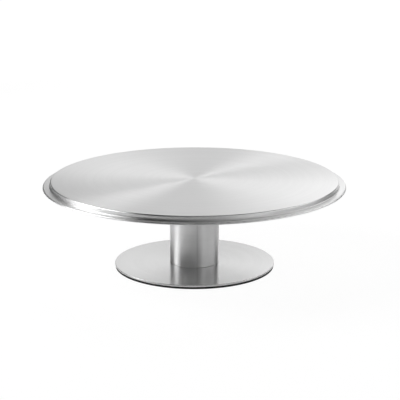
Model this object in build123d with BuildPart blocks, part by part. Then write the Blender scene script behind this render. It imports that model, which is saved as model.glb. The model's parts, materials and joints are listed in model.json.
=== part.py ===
from build123d import *

import os
from math import cos, radians, sqrt, tan

# Cake turntable: a stainless steel plate that turns on a round pedestal.
# The origin is the centre of the underside, +Z points up, and sizes are millimetres.
# The pedestal is a base disc on a rubber mat, a tube and a bearing housing in the tube's top.
# The plate stands on a hub and a spindle, which two ball bearings carry in the housing.

# ---- Driving dimensions -------------------------------------------------------------------

# Outside shape
overall_height = 92.5
plate_radius = 155.0
wall_radius = 147.5  # outside of the step between the flat top and the rim flange
step_height = 5.0
lip_drop = 1.7  # from the rim flange down to the end of the turned edge
base_radius = 82.5
column_radius = 25.4

# Sheet and wall thicknesses
plate_sheet = 1.0
base_sheet = 2.0
mat_thickness = 2.0
column_wall = 1.5

# Bends and edge breaks
shoulder_radius = 1.5
wall_foot_radius = 1.0
lip_radius = 1.3
sheet_edge_radius = 0.3
base_edge_radius = 0.5
tube_edge_radius = 0.4
mat_inset = 0.5
edge_chamfer = 0.4

# Fits
press_clearance = 0.02
thread_clearance = 0.03
running_gap = 1.0  # between the column and the hub that turns above it

# Hub and the studs that hold the plate on it
hub_radius = 48.0
hub_thickness = 3.0
stud_radius = 2.5
stud_length = 9.5
stud_circle = 38.0
stud_count = 4
stud_nut_flats = 8.0
stud_nut_height = 4.0
stud_washer_radius = 5.0
stud_washer_thickness = 1.0

# Ball bearings, 15 x 32 x 9
bore_radius = 7.5
bearing_radius = 16.0
bearing_width = 9.0
ball_radius = 2.381
ball_orbit = 11.75
ball_count = 9
raceway_gap = 0.05
inner_shoulder = 9.9
outer_shoulder = 13.6
cage_inner = 10.35
cage_outer = 13.15
cage_height = 5.8
pocket_gap = 0.12
shield_inner = 10.15
shield_seat = 14.4
shield_thickness = 0.3
shield_recess = 0.5
shield_inset = 0.1
bearing_spacing = 17.0  # centre to centre

# Bearing housing
housing_length = 34.0
housing_inset = 0.5  # below the top of the tube
housing_floor = 3.0
housing_floor_bore = 13.5
circlip_thickness = 1.2
circlip_groove_depth = 0.85
circlip_width = 2.2
circlip_lug_radius = 1.9
circlip_lug_orbit = 14.0
circlip_lug_hole = 0.8
circlip_gap = 7.0

# Spindle, its washer and its nut
collar_radius = 9.5
spigot_radius = 8.0
thread_radius = 6.0
spindle_washer_thickness = 2.0
spindle_nut_height = 10.0
spindle_nut_flats = 19.0
spindle_thread_end = 3.0  # thread left below the nut

# Column foot and the screws that hold the base disc to it
foot_height = 12.0
foot_bore = 7.0
screw_radius = 2.0
screw_head_radius = 4.0
screw_length = 12.0
screw_circle = 16.0
screw_count = 4
screw_hole_gap = 0.1
screw_socket_flats = 2.5
screw_socket_depth = 1.4

# ---- Heights worked out from them ---------------------------------------------------------

base_bottom = mat_thickness
base_top = base_bottom + base_sheet
flange_top = overall_height - step_height
plate_underside = overall_height - plate_sheet
hub_bottom = plate_underside - hub_thickness
column_top = hub_bottom - running_gap
housing_top = column_top - housing_inset
housing_bottom = housing_top - housing_length
lower_bearing_bottom = housing_bottom + housing_floor
lower_bearing_centre = lower_bearing_bottom + bearing_width / 2
upper_bearing_centre = lower_bearing_centre + bearing_spacing
upper_bearing_top = upper_bearing_centre + bearing_width / 2
spacer_bottom = lower_bearing_bottom + bearing_width
spacer_length = bearing_spacing - bearing_width
spindle_washer_bottom = lower_bearing_bottom - spindle_washer_thickness
spindle_nut_bottom = spindle_washer_bottom - spindle_nut_height
spindle_bottom = spindle_nut_bottom - spindle_thread_end
stud_washer_bottom = hub_bottom - stud_washer_thickness
stud_nut_bottom = stud_washer_bottom - stud_nut_height
foot_top = base_top + foot_height
column_bore = column_radius - column_wall

ABOVE = (Align.CENTER, Align.CENTER, Align.MIN)
match_tolerance = 1e-4
hex_half_angle = radians(30)


def section_plane(height=0.0):
    """The upright plane whose X is the radius and whose Y is the height above `height`."""
    return Plane(origin=(0, 0, height), x_dir=(1, 0, 0), z_dir=(0, -1, 0))


def ring_edges(builder, radius, height):
    """The round edges about the axis with this radius at this height."""
    circles = builder.edges().filter_by(GeomType.CIRCLE)
    wide = circles.filter_by(lambda edge: abs(edge.radius - radius) < match_tolerance)
    return wide.filter_by(lambda edge: abs(edge.center().Z - height) < match_tolerance)


def around_axis(builder, circle, count):
    """Copies of one finished piece, spread evenly round a circle about the axis."""
    with BuildPart() as group:
        with PolarLocations(circle, count):
            add(builder.part)
    return group


def flat_ring(bottom, thickness, inner, outer):
    """A washer that lies on `bottom`."""
    with BuildPart() as ring:
        with BuildSketch(Plane.XY.offset(bottom)):
            Circle(outer)
            Circle(inner, mode=Mode.SUBTRACT)
        extrude(amount=thickness)
    return ring


def hex_nut(bottom, height, flats, bore):
    """A hexagon nut with the corners turned down at both ends."""
    corner = flats / 2 / cos(hex_half_angle)
    turned = (corner - flats / 2) * tan(hex_half_angle)
    with BuildPart() as nut:
        with BuildSketch(Plane.XY.offset(bottom)):
            RegularPolygon(radius=flats / 2, side_count=6, major_radius=False)
            Circle(bore, mode=Mode.SUBTRACT)
        extrude(amount=height)
        with BuildSketch(section_plane(bottom)):
            with BuildLine():
                Polyline(
                    (0, 0),
                    (flats / 2, 0),
                    (corner, turned),
                    (corner, height - turned),
                    (flats / 2, height),
                    (0, height),
                    close=True,
                )
            make_face()
        revolve(axis=Axis.Z, mode=Mode.INTERSECT)
    return nut


# ---- Pedestal -----------------------------------------------------------------------------

with BuildPart() as anti_slip_mat:
    Cylinder(base_radius - mat_inset, mat_thickness, align=ABOVE)

with BuildPart() as base_disc:
    with Locations((0, 0, base_bottom)):
        Cylinder(base_radius, base_sheet, align=ABOVE)
    fillet(ring_edges(base_disc, base_radius, base_top), base_edge_radius)
    fillet(ring_edges(base_disc, base_radius, base_bottom), base_edge_radius)
    with Locations(Plane(origin=(0, 0, base_bottom), z_dir=(0, 0, -1))):
        with PolarLocations(screw_circle, screw_count):
            CounterSinkHole(screw_radius + screw_hole_gap, screw_head_radius + screw_hole_gap)

with BuildPart() as base_screw:
    with Locations((0, 0, base_bottom)):
        Cone(screw_head_radius, screw_radius, base_sheet, align=ABOVE)
        Cylinder(screw_radius, screw_length, align=ABOVE)
    chamfer(ring_edges(base_screw, screw_radius, base_bottom + screw_length), edge_chamfer)
    with BuildSketch(Plane.XY.offset(base_bottom)):
        RegularPolygon(radius=screw_socket_flats / 2, side_count=6, major_radius=False)
    extrude(amount=screw_socket_depth, mode=Mode.SUBTRACT)
base_screws = around_axis(base_screw, screw_circle, screw_count)

with BuildPart() as column_foot:
    with BuildSketch(Plane.XY.offset(base_top)):
        Circle(column_bore - press_clearance)
        Circle(foot_bore, mode=Mode.SUBTRACT)
        with PolarLocations(screw_circle, screw_count):
            Circle(screw_radius + thread_clearance, mode=Mode.SUBTRACT)
    extrude(amount=foot_height)
    chamfer(ring_edges(column_foot, column_bore - press_clearance, foot_top), edge_chamfer)

with BuildPart() as column_tube:
    with BuildSketch(Plane.XY.offset(base_top)):
        Circle(column_radius)
        Circle(column_bore, mode=Mode.SUBTRACT)
    extrude(amount=column_top - base_top)
    fillet(ring_edges(column_tube, column_radius, column_top), tube_edge_radius)
    fillet(ring_edges(column_tube, column_radius, base_top), tube_edge_radius)

with BuildPart() as bearing_housing:
    with BuildSketch(Plane.XY.offset(housing_bottom)):
        Circle(column_bore - press_clearance)
        Circle(housing_floor_bore, mode=Mode.SUBTRACT)
    extrude(amount=housing_length)
    with BuildSketch(Plane.XY.offset(lower_bearing_bottom)):
        Circle(bearing_radius + press_clearance)
    extrude(amount=housing_length, mode=Mode.SUBTRACT)
    with BuildSketch(Plane.XY.offset(upper_bearing_top)):
        Circle(bearing_radius + circlip_groove_depth)
    extrude(amount=circlip_thickness + press_clearance, mode=Mode.SUBTRACT)
    chamfer(ring_edges(bearing_housing, bearing_radius + press_clearance, housing_top), edge_chamfer)

outer_spacer_ring = flat_ring(spacer_bottom, spacer_length, outer_shoulder, bearing_radius)

with BuildPart() as retaining_circlip:
    clip_outer = bearing_radius + circlip_groove_depth - press_clearance
    clip_inner = clip_outer - circlip_width
    lug_y = circlip_gap / 2 + circlip_lug_radius
    lug_x = sqrt(circlip_lug_orbit**2 - lug_y**2)
    with BuildSketch(Plane.XY.offset(upper_bearing_top)):
        Circle(clip_outer)
        Circle(clip_inner, mode=Mode.SUBTRACT)
        with Locations((clip_outer, 0)):
            Rectangle(2 * clip_outer, circlip_gap, mode=Mode.SUBTRACT)
        for side in (1, -1):
            with Locations((lug_x, side * lug_y)):
                Circle(circlip_lug_radius)
                Circle(circlip_lug_hole, mode=Mode.SUBTRACT)
    extrude(amount=circlip_thickness)


# ---- Ball bearings ------------------------------------------------------------------------


def bearing_outer_ring(centre):
    """The outer ring, with its raceway and a seat for a shield in each face."""
    with BuildPart() as ring:
        with BuildSketch(section_plane(centre)):
            with Locations(((outer_shoulder + bearing_radius) / 2, 0)):
                Rectangle(bearing_radius - outer_shoulder, bearing_width)
            with Locations((ball_orbit, 0)):
                Circle(ball_radius + raceway_gap, mode=Mode.SUBTRACT)
            for side in (1, -1):
                with Locations((shield_seat / 2, side * (bearing_width - shield_recess) / 2)):
                    Rectangle(shield_seat, shield_recess, mode=Mode.SUBTRACT)
        revolve(axis=Axis.Z)
    return ring


def bearing_inner_ring(centre):
    """The inner ring, with its raceway."""
    with BuildPart() as ring:
        with BuildSketch(section_plane(centre)):
            with Locations(((bore_radius + inner_shoulder) / 2, 0)):
                Rectangle(inner_shoulder - bore_radius, bearing_width)
            with Locations((ball_orbit, 0)):
                Circle(ball_radius + raceway_gap, mode=Mode.SUBTRACT)
        revolve(axis=Axis.Z)
    return ring


def bearing_shields(centre):
    """The two thin discs that close the bearing, held in the outer ring's seats."""
    from_centre = bearing_width / 2 - shield_inset - shield_thickness / 2
    with BuildPart() as shields:
        for side in (1, -1):
            with BuildSketch(Plane.XY.offset(centre + side * from_centre - shield_thickness / 2)):
                Circle(shield_seat - press_clearance)
                Circle(shield_inner, mode=Mode.SUBTRACT)
            extrude(amount=shield_thickness)
    return shields


def bearing_cage(centre):
    """The moulded ring that keeps the balls apart, with a round pocket for each."""
    with BuildPart() as cage:
        with BuildSketch(section_plane(centre)):
            with Locations(((cage_inner + cage_outer) / 2, 0)):
                Rectangle(cage_outer - cage_inner, cage_height)
        revolve(axis=Axis.Z)
        with Locations((0, 0, centre)):
            with PolarLocations(ball_orbit, ball_count):
                Cylinder(
                    ball_radius + pocket_gap,
                    2 * (cage_outer - cage_inner),
                    rotation=(0, 90, 0),
                    mode=Mode.SUBTRACT,
                )
    return cage


def bearing_balls(centre):
    """The balls, evenly spaced on their pitch circle."""
    with BuildPart() as balls:
        with Locations((0, 0, centre)):
            with PolarLocations(ball_orbit, ball_count):
                Sphere(ball_radius)
    return balls


# ---- Turning part -------------------------------------------------------------------------

with BuildPart() as turntable_plate:
    inner_wall_radius = wall_radius - plate_sheet
    lip_inner_radius = plate_radius - plate_sheet
    lip_bottom = flange_top - lip_drop
    flange_underside = flange_top - plate_sheet
    with BuildSketch(section_plane()):
        with BuildLine():
            Polyline(
                (0, overall_height),
                (wall_radius, overall_height),
                (wall_radius, flange_top),
                (plate_radius, flange_top),
                (plate_radius, lip_bottom),
                (lip_inner_radius, lip_bottom),
                (lip_inner_radius, flange_underside),
                (inner_wall_radius, flange_underside),
                (inner_wall_radius, plate_underside),
                (0, plate_underside),
                close=True,
            )
        make_face()
    revolve(axis=Axis.Z)
    for bend_radius, bend_height, bend in (
        (wall_radius, overall_height, shoulder_radius),
        (wall_radius, flange_top, wall_foot_radius),
        (plate_radius, flange_top, lip_radius),
        (inner_wall_radius, plate_underside, shoulder_radius - plate_sheet),
        (inner_wall_radius, flange_underside, wall_foot_radius + plate_sheet),
        (lip_inner_radius, flange_underside, lip_radius - plate_sheet),
        (plate_radius, lip_bottom, sheet_edge_radius),
    ):
        fillet(ring_edges(turntable_plate, bend_radius, bend_height), bend)

with BuildPart() as plate_hub:
    with BuildSketch(Plane.XY.offset(hub_bottom)):
        Circle(hub_radius)
        Circle(spigot_radius + press_clearance, mode=Mode.SUBTRACT)
        with PolarLocations(stud_circle, stud_count):
            Circle(stud_radius + screw_hole_gap, mode=Mode.SUBTRACT)
    extrude(amount=hub_thickness)
    chamfer(ring_edges(plate_hub, hub_radius, hub_bottom), edge_chamfer)

with BuildPart() as weld_stud:
    with Locations((0, 0, plate_underside - stud_length)):
        Cylinder(stud_radius, stud_length, align=ABOVE)
    chamfer(ring_edges(weld_stud, stud_radius, plate_underside - stud_length), edge_chamfer)
weld_studs = around_axis(weld_stud, stud_circle, stud_count)

stud_washer = flat_ring(
    stud_washer_bottom, stud_washer_thickness, stud_radius + screw_hole_gap, stud_washer_radius
)
stud_washers = around_axis(stud_washer, stud_circle, stud_count)

stud_nut = hex_nut(stud_nut_bottom, stud_nut_height, stud_nut_flats, stud_radius + thread_clearance)
stud_nuts = around_axis(stud_nut, stud_circle, stud_count)

with BuildPart() as spindle:
    seat_radius = bore_radius - press_clearance
    seat_bottom = lower_bearing_bottom + edge_chamfer
    with BuildSketch(section_plane()):
        with BuildLine():
            Polyline(
                (0, spindle_bottom),
                (thread_radius, spindle_bottom),
                (thread_radius, seat_bottom),
                (seat_radius, seat_bottom),
                (seat_radius, upper_bearing_top),
                (collar_radius, upper_bearing_top),
                (collar_radius, hub_bottom),
                (spigot_radius, hub_bottom),
                (spigot_radius, plate_underside),
                (0, plate_underside),
                close=True,
            )
        make_face()
    revolve(axis=Axis.Z)
    chamfer(ring_edges(spindle, thread_radius, spindle_bottom), edge_chamfer)
    chamfer(ring_edges(spindle, seat_radius, seat_bottom), edge_chamfer)

inner_spacer_sleeve = flat_ring(spacer_bottom, spacer_length, bore_radius, inner_shoulder)

spindle_washer = flat_ring(
    spindle_washer_bottom, spindle_washer_thickness, thread_radius + screw_hole_gap, collar_radius
)

spindle_nut = hex_nut(
    spindle_nut_bottom, spindle_nut_height, spindle_nut_flats, thread_radius + thread_clearance
)

# ---- Finished pieces ----------------------------------------------------------------------

pieces = {
    "anti_slip_mat": anti_slip_mat,
    "base_disc": base_disc,
    "base_screws": base_screws,
    "column_foot": column_foot,
    "column_tube": column_tube,
    "bearing_housing": bearing_housing,
    "outer_spacer_ring": outer_spacer_ring,
    "retaining_circlip": retaining_circlip,
    "turntable_plate": turntable_plate,
    "plate_hub": plate_hub,
    "weld_studs": weld_studs,
    "stud_washers": stud_washers,
    "stud_nuts": stud_nuts,
    "spindle": spindle,
    "inner_spacer_sleeve": inner_spacer_sleeve,
    "spindle_washer": spindle_washer,
    "spindle_nut": spindle_nut,
}
for level, centre in (("lower", lower_bearing_centre), ("upper", upper_bearing_centre)):
    pieces[f"{level}_bearing_outer_ring"] = bearing_outer_ring(centre)
    pieces[f"{level}_bearing_inner_ring"] = bearing_inner_ring(centre)
    pieces[f"{level}_bearing_shields"] = bearing_shields(centre)
    pieces[f"{level}_bearing_cage"] = bearing_cage(centre)
    pieces[f"{level}_bearing_balls"] = bearing_balls(centre)

os.makedirs("parts", exist_ok=True)
for name, builder in pieces.items():
    builder.part.label = name
    export_step(builder.part, f"parts/{name}.step")
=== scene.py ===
import json
from collections import namedtuple
from math import pi, radians

import bmesh
import bpy
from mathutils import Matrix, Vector


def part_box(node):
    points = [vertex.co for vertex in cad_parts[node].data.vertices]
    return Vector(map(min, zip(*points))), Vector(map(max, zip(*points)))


# A stainless steel cake turntable in a white tent. Lengths are metres.

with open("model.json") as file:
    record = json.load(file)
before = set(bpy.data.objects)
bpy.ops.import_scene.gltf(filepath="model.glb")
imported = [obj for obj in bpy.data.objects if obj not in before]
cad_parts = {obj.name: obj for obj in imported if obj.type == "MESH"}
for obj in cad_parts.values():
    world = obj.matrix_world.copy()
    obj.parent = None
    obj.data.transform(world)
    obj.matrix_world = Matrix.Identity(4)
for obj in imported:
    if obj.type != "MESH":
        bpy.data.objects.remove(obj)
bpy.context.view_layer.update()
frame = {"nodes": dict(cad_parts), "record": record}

WHITE = (1, 1, 1, 1)
MICRON = 0.000001

# ---- Camera -------------------------------------------------------------------------------

CAMERA_PLACE = Vector((0, -1.3677, 0.4272))
CAMERA_TARGET = Vector((0.0057, 0, 0.0693))
CAMERA_LENS = 123.6  # millimetres, as the sensor's width is
SENSOR_WIDTH = 36
VIEW_DEPTH = 100


def add_camera():
    """Looks at the turntable from the front and a little above, as the photograph does."""
    data = bpy.data.cameras.new("camera")
    data.lens = CAMERA_LENS
    data.sensor_width = SENSOR_WIDTH
    data.clip_end = VIEW_DEPTH
    camera = bpy.data.objects.new("camera", data)
    bpy.context.scene.collection.objects.link(camera)
    camera.location = CAMERA_PLACE
    camera.rotation_euler = (CAMERA_TARGET - CAMERA_PLACE).to_track_quat("-Z", "Y").to_euler()
    bpy.context.scene.camera = camera


# ---- Shader helpers -----------------------------------------------------------------------

# Noise seldom leaves the first range. Over the second, mostly its peaks show, as spots of wear or dust.
NOISE_RANGE = (0.3, 0.7)
SPOT_RANGE = (0.4, 0.8)


class Shader:
    """The node tree of a material or of the world, with short calls for the nodes that it needs."""

    def __init__(self, owner):
        owner.use_nodes = True
        self.tree = owner.node_tree
        self.tree.nodes.clear()

    def node(self, kind, **settings):
        made = self.tree.nodes.new(kind)
        for key, value in settings.items():
            setattr(made, key, value)
        return made

    def feed(self, socket, value):
        """Links a socket to an output, or sets it to a value."""
        if isinstance(value, bpy.types.NodeSocket):
            self.tree.links.new(value, socket)
        else:
            socket.default_value = value

    def math(self, operation, *values):
        made = self.node("ShaderNodeMath", operation=operation)
        for socket, value in zip(made.inputs, values):
            self.feed(socket, value)
        return made.outputs[0]

    def spread(self, value, low, high, to_low, to_high):
        """Maps low..high smoothly to to_low..to_high, and holds the ends."""
        made = self.node("ShaderNodeMapRange", interpolation_type="SMOOTHSTEP")
        for socket, number in zip(made.inputs, (value, low, high, to_low, to_high)):
            self.feed(socket, number)
        return made.outputs[0]

    def vary(self, noise, start, end, noise_range=NOISE_RANGE):
        """Turns noise into a value that wanders between `start` and `end`."""
        return self.spread(noise, *noise_range, start, end)

    def choose(self, switch, on, off):
        """`on` where the switch is 1 and `off` where it is 0."""
        made = self.node("ShaderNodeMapRange")
        for socket, number in zip(made.inputs, (switch, 0.0, 1.0, off, on)):
            self.feed(socket, number)
        return made.outputs[0]

    def vector(self, x, y, z):
        made = self.node("ShaderNodeCombineXYZ")
        for socket, value in zip(made.inputs, (x, y, z)):
            self.feed(socket, value)
        return made.outputs[0]

    def split(self, vector):
        made = self.node("ShaderNodeSeparateXYZ")
        self.feed(made.inputs[0], vector)
        return made.outputs

    def noise(self, vector, detail=2.0, scale=1.0):
        made = self.node("ShaderNodeTexNoise")
        self.feed(made.inputs["Vector"], vector)
        made.inputs["Scale"].default_value = scale
        made.inputs["Detail"].default_value = detail
        return made.outputs["Fac"]

    def place(self):
        """The point on the piece, in the frame of the whole object."""
        return self.node("ShaderNodeTexCoord").outputs["Object"]

    def turn(self, x, y):
        """The angle about the axis, from the camera's side towards +X."""
        return self.math("ARCTAN2", x, self.math("MULTIPLY", y, -1.0))

    def bump(self, height, depth, normal=None):
        """The normal of a surface where one unit of height stands for this depth."""
        made = self.node("ShaderNodeBump")
        made.inputs["Strength"].default_value = 1.0
        made.inputs["Distance"].default_value = depth
        self.feed(made.inputs["Height"], height)
        if normal is not None:
            self.feed(made.inputs["Normal"], normal)
        return made.outputs[0]

    def surface(self):
        """The Principled shader of a new material, already on its output."""
        out = self.node("ShaderNodeOutputMaterial")
        made = self.node("ShaderNodeBsdfPrincipled")
        self.feed(out.inputs["Surface"], made.outputs[0])
        return made

    def colour(self, surface, shade, tint=(1, 1, 1)):
        """Gives a surface this shade of the tint."""
        mixed = self.vector(*(self.math("MULTIPLY", shade, part) for part in tint))
        self.feed(surface.inputs["Base Color"], mixed)


# Blender counts the turn of a highlight in whole turns. A quarter spreads it across the grain.
QUARTER_TURN = 0.25


class Turned(Shader):
    """A material for a piece that is round about the axis, with its grain running round it."""

    def __init__(self, owner):
        super().__init__(owner)
        self.x, self.y, z = self.split(self.place())
        across = self.math("MULTIPLY", self.x, self.x)
        self.radius = self.math("SQRT", self.math("MULTIPLY_ADD", self.y, self.y, across))
        self.along = self.math("SUBTRACT", self.radius, z)

    def rings(self, pitch, arc, detail=2.0):
        """Noise drawn out into arcs: `pitch` is from ring to ring, and `arc` is how far one runs."""
        step = self.math("DIVIDE", self.along, pitch)
        arc_x = self.math("DIVIDE", self.x, arc)
        arc_y = self.math("DIVIDE", self.y, arc)
        return self.noise(self.vector(step, arc_x, arc_y), detail)

    def near(self, place, width):
        """1 where the profile passes `place`, a radius minus a height, and 0 beyond `width` from it."""
        away = self.math("ABSOLUTE", self.math("SUBTRACT", self.along, place))
        return self.spread(away, 0.0, width, 1.0, 0.0)

    def brushed_surface(self, anisotropy):
        """Metal whose highlights spread across the grain."""
        made = self.surface()
        made.inputs["Metallic"].default_value = 1.0
        made.inputs["Anisotropic"].default_value = anisotropy
        made.inputs["Anisotropic Rotation"].default_value = QUARTER_TURN
        tangent = self.node("ShaderNodeTangent", direction_type="RADIAL", axis="Z")
        self.feed(made.inputs["Tangent"], tangent.outputs[0])
        return made


# ---- Materials ----------------------------------------------------------------------------

plate_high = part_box("turntable_plate")[1]
base_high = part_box("base_disc")[1]

# The plate steps down from its flat top to a narrow flange
FLANGE_WIDTH = 0.0075
STEP_HEIGHT = 0.005

# Where the bends and edges are along the profiles, as radius minus height
PLATE_SHOULDER = plate_high.x - FLANGE_WIDTH - plate_high.z
PLATE_RIM = plate_high.x - plate_high.z + STEP_HEIGHT
BASE_EDGE = base_high.x - base_high.z

# Edges are rubbed smoother than the faces beside them: how wide that is, and how much less rough
PLATE_EDGE_WIDTH = 0.0015
BASE_EDGE_WIDTH = 0.001
EDGE_POLISH = 0.05

# The spinning marks set in round the shoulder, and the flat top has only a trace of them
MARKS_START = PLATE_SHOULDER - 0.002
MARKS_FULL = PLATE_SHOULDER + 0.001
MARKS_ON_TOP = 0.02

# The plate's top is flat in the middle and falls a little towards its shoulder
CROWN_START = 0.080
CROWN_END = 0.146
CROWN_DROP = 0.0012

# A thin line runs up the tube's front. Its colour is a little darker and it is rougher than the rest of
# the tube.
DARK_LINE_TURN = radians(6.5)
DARK_LINE_WIDTH = 0.0015
DARK_LINE_DARKER = 0.09
DARK_LINE_ROUGHER = 0.06

# From one mark of the lathe's tool to the next
FEED_PITCH = 0.0004

# The stainless steel's grey wanders between these
STAINLESS = (0.73, 0.75)


def crown(shader):
    """The slope of the plate's crown, as a normal: the rise is too slight to show in the outline."""
    past_flat = shader.math("MAXIMUM", shader.math("SUBTRACT", shader.radius, CROWN_START), 0.0)
    outward = shader.math("DIVIDE", past_flat, CROWN_END - CROWN_START)
    height = shader.math("SUBTRACT", 1.0, shader.math("MULTIPLY", outward, outward))
    return shader.bump(height, CROWN_DROP)


def plate_steel():
    """Lathe-brushed sheet: nearly smooth on top, with spinning marks on the step and the flange."""
    material = bpy.data.materials.new("plate_steel")
    shader = Turned(material)
    surface = shader.brushed_surface(anisotropy=0.92)
    hairlines = shader.rings(pitch=0.00035, arc=0.06, detail=1.0)
    bands = shader.rings(pitch=0.0045, arc=0.35)
    spun = shader.rings(pitch=0.0009, arc=0.25)
    shoulder = shader.near(PLATE_SHOULDER, PLATE_EDGE_WIDTH)
    rim = shader.near(PLATE_RIM, PLATE_EDGE_WIDTH)
    edge = shader.math("MAXIMUM", shoulder, rim)
    shader.colour(surface, shader.vary(bands, *STAINLESS))
    rough = shader.vary(hairlines, 0.30, 0.34)
    shader.feed(surface.inputs["Roughness"], shader.math("MULTIPLY_ADD", edge, -EDGE_POLISH, rough))
    on_step = shader.spread(shader.along, MARKS_START, MARKS_FULL, MARKS_ON_TOP, 1.0)
    marks = shader.math("MULTIPLY", spun, on_step)
    shader.feed(surface.inputs["Normal"], shader.bump(marks, 40 * MICRON, crown(shader)))
    return material


def base_steel():
    """The base disc is brushed finer than the plate and polished, so that the tube shows in it."""
    material = bpy.data.materials.new("base_steel")
    shader = Turned(material)
    surface = shader.brushed_surface(anisotropy=0.8)
    hairlines = shader.rings(pitch=0.0003, arc=0.05, detail=1.0)
    bands = shader.rings(pitch=0.003, arc=0.2)
    shader.colour(surface, shader.vary(bands, *STAINLESS))
    rough = shader.vary(hairlines, 0.185, 0.215)
    edge = shader.near(BASE_EDGE, BASE_EDGE_WIDTH)
    shader.feed(surface.inputs["Roughness"], shader.math("MULTIPLY_ADD", edge, -EDGE_POLISH, rough))
    shader.feed(surface.inputs["Normal"], shader.bump(hairlines, 1 * MICRON))
    return material


def dark_line_mask(shader):
    """1 along the dark line up the tube's front, and 0 beyond its width."""
    turn = shader.turn(shader.x, shader.y)
    aside = shader.math("ABSOLUTE", shader.math("SUBTRACT", turn, DARK_LINE_TURN))
    return shader.spread(shader.math("MULTIPLY", aside, shader.radius), 0.0, DARK_LINE_WIDTH, 1.0, 0.0)


def tube_steel():
    """Satin tube, polished round its axis, with a faint dull line up its front."""
    material = bpy.data.materials.new("tube_steel")
    shader = Turned(material)
    surface = shader.brushed_surface(anisotropy=0.95)
    hairlines = shader.rings(pitch=0.0003, arc=0.02, detail=1.0)
    bands = shader.rings(pitch=0.004, arc=0.05)
    # A thin line up the tube's front: its colour is darker and its surface rougher than the rest of the
    # tube
    dark_line = dark_line_mask(shader)
    shade = shader.vary(bands, *STAINLESS)
    shader.colour(surface, shader.math("MULTIPLY_ADD", dark_line, -DARK_LINE_DARKER, shade))
    rough = shader.vary(hairlines, 0.30, 0.34)
    shader.feed(surface.inputs["Roughness"], shader.math("MULTIPLY_ADD", dark_line, DARK_LINE_ROUGHER, rough))
    shader.feed(surface.inputs["Normal"], shader.bump(hairlines, 2 * MICRON))
    return material


def turned_steel():
    """Steel as it comes off the lathe, with its feed marks."""
    material = bpy.data.materials.new("turned_steel")
    shader = Turned(material)
    surface = shader.brushed_surface(anisotropy=0.5)
    feed_marks = shader.math("SINE", shader.math("MULTIPLY", shader.along, 2 * pi / FEED_PITCH))
    bands = shader.rings(pitch=0.002, arc=0.02)
    shader.colour(surface, shader.vary(bands, 0.56, 0.64), tint=(1.0, 0.99, 0.98))
    shader.feed(surface.inputs["Roughness"], shader.vary(bands, 0.36, 0.28))
    shader.feed(surface.inputs["Normal"], shader.bump(feed_marks, 4 * MICRON))
    return material


def bearing_steel():
    """Ground and polished bearing steel."""
    material = bpy.data.materials.new("bearing_steel")
    shader = Turned(material)
    surface = shader.brushed_surface(anisotropy=0.3)
    grinding = shader.rings(pitch=0.0002, arc=0.01)
    shader.colour(surface, shader.vary(grinding, 0.64, 0.70))
    shader.feed(surface.inputs["Roughness"], shader.vary(grinding, 0.10, 0.16))
    shader.feed(surface.inputs["Normal"], shader.bump(grinding, 1 * MICRON))
    return material


def zinc_plate():
    """Bright zinc plating, with the faint blue cast and cloudiness that it has."""
    material = bpy.data.materials.new("zinc_plate")
    shader = Shader(material)
    surface = shader.surface()
    surface.inputs["Metallic"].default_value = 1.0
    clouds = shader.noise(shader.place(), detail=3.0, scale=350.0)
    grain = shader.noise(shader.place(), detail=2.0, scale=2500.0)
    shader.colour(surface, shader.vary(clouds, 0.56, 0.66), tint=(0.96, 0.98, 1.0))
    shader.feed(surface.inputs["Roughness"], shader.vary(clouds, 0.38, 0.26))
    shader.feed(surface.inputs["Normal"], shader.bump(grain, 6 * MICRON))
    return material


def spring_steel():
    """Blackened spring steel, worn a little brighter in spots."""
    material = bpy.data.materials.new("spring_steel")
    shader = Shader(material)
    surface = shader.surface()
    surface.inputs["Metallic"].default_value = 1.0
    wear = shader.noise(shader.place(), detail=3.0, scale=500.0)
    shader.colour(surface, shader.vary(wear, 0.06, 0.22, SPOT_RANGE), tint=(1.0, 0.96, 0.92))
    shader.feed(surface.inputs["Roughness"], shader.vary(wear, 0.5, 0.3, SPOT_RANGE))
    shader.feed(surface.inputs["Normal"], shader.bump(wear, 8 * MICRON))
    return material


def cage_nylon():
    """Moulded natural nylon, slightly translucent."""
    material = bpy.data.materials.new("cage_nylon")
    shader = Shader(material)
    surface = shader.surface()
    surface.inputs["Subsurface Weight"].default_value = 0.2
    surface.inputs["Subsurface Scale"].default_value = 0.001
    clouds = shader.noise(shader.place(), detail=2.0, scale=200.0)
    shader.colour(surface, shader.vary(clouds, 0.74, 0.82), tint=(1.0, 0.96, 0.85))
    shader.feed(surface.inputs["Roughness"], shader.vary(clouds, 0.42, 0.52))
    shader.feed(surface.inputs["Normal"], shader.bump(clouds, 20 * MICRON))
    return material


def mat_rubber():
    """Black rubber with a fine moulded grain, greyed slightly by dust."""
    material = bpy.data.materials.new("mat_rubber")
    shader = Shader(material)
    surface = shader.surface()
    surface.inputs["Specular IOR Level"].default_value = 0.35
    grain = shader.noise(shader.place(), detail=2.0, scale=1400.0)
    dust = shader.noise(shader.place(), detail=4.0, scale=60.0)
    shader.colour(surface, shader.vary(dust, 0.011, 0.02, SPOT_RANGE))
    shader.feed(surface.inputs["Roughness"], shader.vary(grain, 0.66, 0.82))
    shader.feed(surface.inputs["Normal"], shader.bump(grain, 50 * MICRON))
    return material


FINISHES = {
    "brushed_plate": plate_steel,
    "brushed_base": base_steel,
    "tube_steel": tube_steel,
    "turned_steel": turned_steel,
    "bearing_steel": bearing_steel,
    "zinc_fastener": zinc_plate,
    "spring_steel": spring_steel,
    "cage_nylon": cage_nylon,
    "mat_rubber": mat_rubber,
}


def paint_nodes():
    """Every node shows its own shape, in the finish that the record gives it."""
    finishes = {slot: make() for slot, make in FINISHES.items()}
    for subpart in frame["record"]["subparts"]:
        for slot in frame["nodes"][subpart["node"]].material_slots:
            slot.material = finishes[subpart["material_slot"]]


# ---- Studio -------------------------------------------------------------------------------

TENT_CENTRE = Vector((0, 0, 0.07))
TENT_REACH = 1.2
TENT_SIDES = 72

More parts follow.
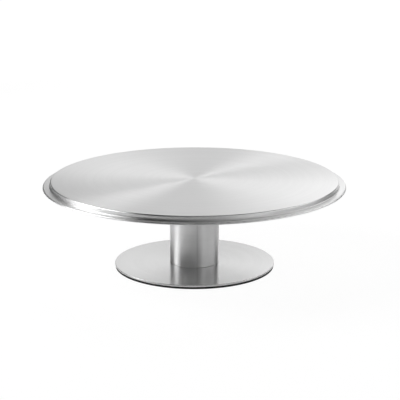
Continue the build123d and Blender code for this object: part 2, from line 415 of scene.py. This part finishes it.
# Where the tent is lit. The middle of a patch is given by its turn, from the camera's side towards
# +X, and its rise, as seen from the tent's centre. It reaches `wide` to either side of that and
# `high` up and down, all in degrees, and is `glow` bright in its middle.
Patch = namedtuple("Patch", "turn rise wide high glow")
PATCHES = {
    "key": Patch(turn=-87, rise=40, wide=45, high=24, glow=4.9),
    "key_side": Patch(turn=-99, rise=30, wide=28, high=18, glow=3.5),
    "key_foot": Patch(turn=-108, rise=14, wide=28, high=16, glow=0.5),
    "left_strip": Patch(turn=-90, rise=0, wide=28, high=16, glow=1.8),
    "right_wall": Patch(turn=87, rise=31, wide=70, high=16, glow=2.4),
    "right_upper": Patch(turn=33, rise=42, wide=74, high=16, glow=1.1),
    "right_strip": Patch(turn=42, rise=0, wide=28, high=16, glow=0.9),
    "right_foot": Patch(turn=95, rise=2, wide=40, high=16, glow=0.5),
    "right_middle": Patch(turn=60, rise=15, wide=50, high=16, glow=0.3),
    "back_right": Patch(turn=156, rise=30, wide=28, high=53, glow=1.6),
    "back_left": Patch(turn=-174, rise=34, wide=28, high=46, glow=1.2),
    "back_foot": Patch(turn=180, rise=15, wide=45, high=20, glow=0.2),
    "left_back": Patch(turn=-138, rise=28, wide=34, high=26, glow=0.4),
    "back_upper": Patch(turn=175, rise=50, wide=50, high=22, glow=0.45),
    "front": Patch(turn=0, rise=35, wide=50, high=20, glow=0.15),
    "front_right": Patch(turn=20, rise=20, wide=35, high=20, glow=0.2),
    # A thin band all the way round, where the tent meets the table. It is dimmer at the back.
    "horizon": Patch(turn=0, rise=-2, wide=400, high=4, glow=0.8),
}

# Pools of light on the table, each `glow` bright in its middle
Pool = namedtuple("Pool", "x y reach glow")
POOLS = {
    "front_pool": Pool(x=0.45, y=-0.50, reach=0.40, glow=0.5),
    "near_pool": Pool(x=-0.10, y=-0.35, reach=0.30, glow=0.3),
    "left_pool": Pool(x=-0.40, y=-0.50, reach=0.35, glow=1.2),
    "left_back_pool": Pool(x=-0.40, y=-0.08, reach=0.35, glow=1.1),
    "back_pool": Pool(x=0.00, y=0.50, reach=0.35, glow=2.7),
}
FLOOR_REACH = 6.0
FLOOR_SHADE = 0.8
FLOOR_GLOW = 0.16

# The camera sees the table as mostly white glow, so that shadows stay faint
SEEN_SHADE = 0.12
SEEN_GLOW = 0.93


def fade(shader, across, up, glow):
    """A round patch of light: `glow` in its middle, falling smoothly to nothing one unit away."""
    squared = shader.math("MULTIPLY_ADD", up, up, shader.math("MULTIPLY", across, across))
    return shader.spread(shader.math("SQRT", squared), 0.0, 1.0, glow, 0.0)


def offset_in(shader, value, middle, reach):
    """How far a value is from the middle of a patch, as a share of the patch's reach."""
    return shader.math("DIVIDE", shader.math("SUBTRACT", value, middle), reach)


def tent_glow(shader):
    """The brightness of the tent, all its patches together."""
    x, y, z = shader.split(shader.place())
    turn = shader.turn(x, y)
    rise = shader.math("ARCSINE", shader.math("DIVIDE", z, TENT_REACH))
    total = 0.0
    for patch in PATCHES.values():
        aside = shader.math("WRAP", shader.math("SUBTRACT", turn, radians(patch.turn)), pi, -pi)
        across = shader.math("DIVIDE", aside, radians(patch.wide))
        up = offset_in(shader, rise, radians(patch.rise), radians(patch.high))
        total = shader.math("ADD", fade(shader, across, up, patch.glow), total)
    return total


def floor_glow(shader):
    """The light that the table top throws back: even, with a few brighter pools."""
    point = shader.split(shader.place())
    total = FLOOR_GLOW
    for pool in POOLS.values():
        across = offset_in(shader, point["X"], pool.x, pool.reach)
        along = offset_in(shader, point["Y"], pool.y, pool.reach)
        total = shader.math("ADD", fade(shader, across, along, pool.glow), total)
    return total


def add_tent():
    """A white ball of cloth round the table, lit in soft patches. The camera looks in through it."""
    ball = bmesh.new()
    bmesh.ops.create_uvsphere(ball, u_segments=TENT_SIDES, v_segments=TENT_SIDES // 2, radius=TENT_REACH)
    mesh = bpy.data.meshes.new("tent")
    ball.to_mesh(mesh)
    ball.free()
    tent = bpy.data.objects.new("tent", mesh)
    bpy.context.scene.collection.objects.link(tent)
    tent.location = TENT_CENTRE
    tent.visible_camera = False
    material = bpy.data.materials.new("tent")
    material.cycles.emission_sampling = "NONE"  # rays meet so large a light without being aimed at it
    shader = Shader(material)
    out = shader.node("ShaderNodeOutputMaterial")
    lamp = shader.node("ShaderNodeEmission")
    shader.feed(out.inputs["Surface"], lamp.outputs[0])
    shader.feed(lamp.inputs["Strength"], tent_glow(shader))
    mesh.materials.append(material)


def add_world():
    """White beyond the table and outside the tent."""
    world = bpy.data.worlds.new("studio")
    bpy.context.scene.world = world
    shader = Shader(world)
    out = shader.node("ShaderNodeOutputWorld")
    background = shader.node("ShaderNodeBackground")
    background.inputs["Color"].default_value = WHITE
    shader.feed(out.inputs["Surface"], background.outputs[0])


def add_floor():
    """A white table top, matt and faintly lit from within."""
    mesh = bpy.data.meshes.new("floor")
    reach = FLOOR_REACH
    corners = [(-reach, -reach, 0), (reach, -reach, 0), (reach, reach, 0), (-reach, reach, 0)]
    mesh.from_pydata(corners, [], [(0, 1, 2, 3)])
    floor = bpy.data.objects.new("floor", mesh)
    bpy.context.scene.collection.objects.link(floor)
    material = bpy.data.materials.new("floor")
    shader = Shader(material)
    surface = shader.surface()
    surface.inputs["Roughness"].default_value = 1.0
    surface.inputs["Specular IOR Level"].default_value = 0.0
    surface.inputs["Emission Color"].default_value = WHITE
    seen = shader.node("ShaderNodeLightPath").outputs["Is Camera Ray"]
    shader.colour(surface, shader.choose(seen, SEEN_SHADE, FLOOR_SHADE))
    shader.feed(surface.inputs["Emission Strength"], shader.choose(seen, SEEN_GLOW, floor_glow(shader)))
    mesh.materials.append(material)


# ---- The whole scene ----------------------------------------------------------------------

bpy.context.scene.view_settings.view_transform = "Standard"
add_camera()
add_world()
add_floor()
add_tent()
paint_nodes()
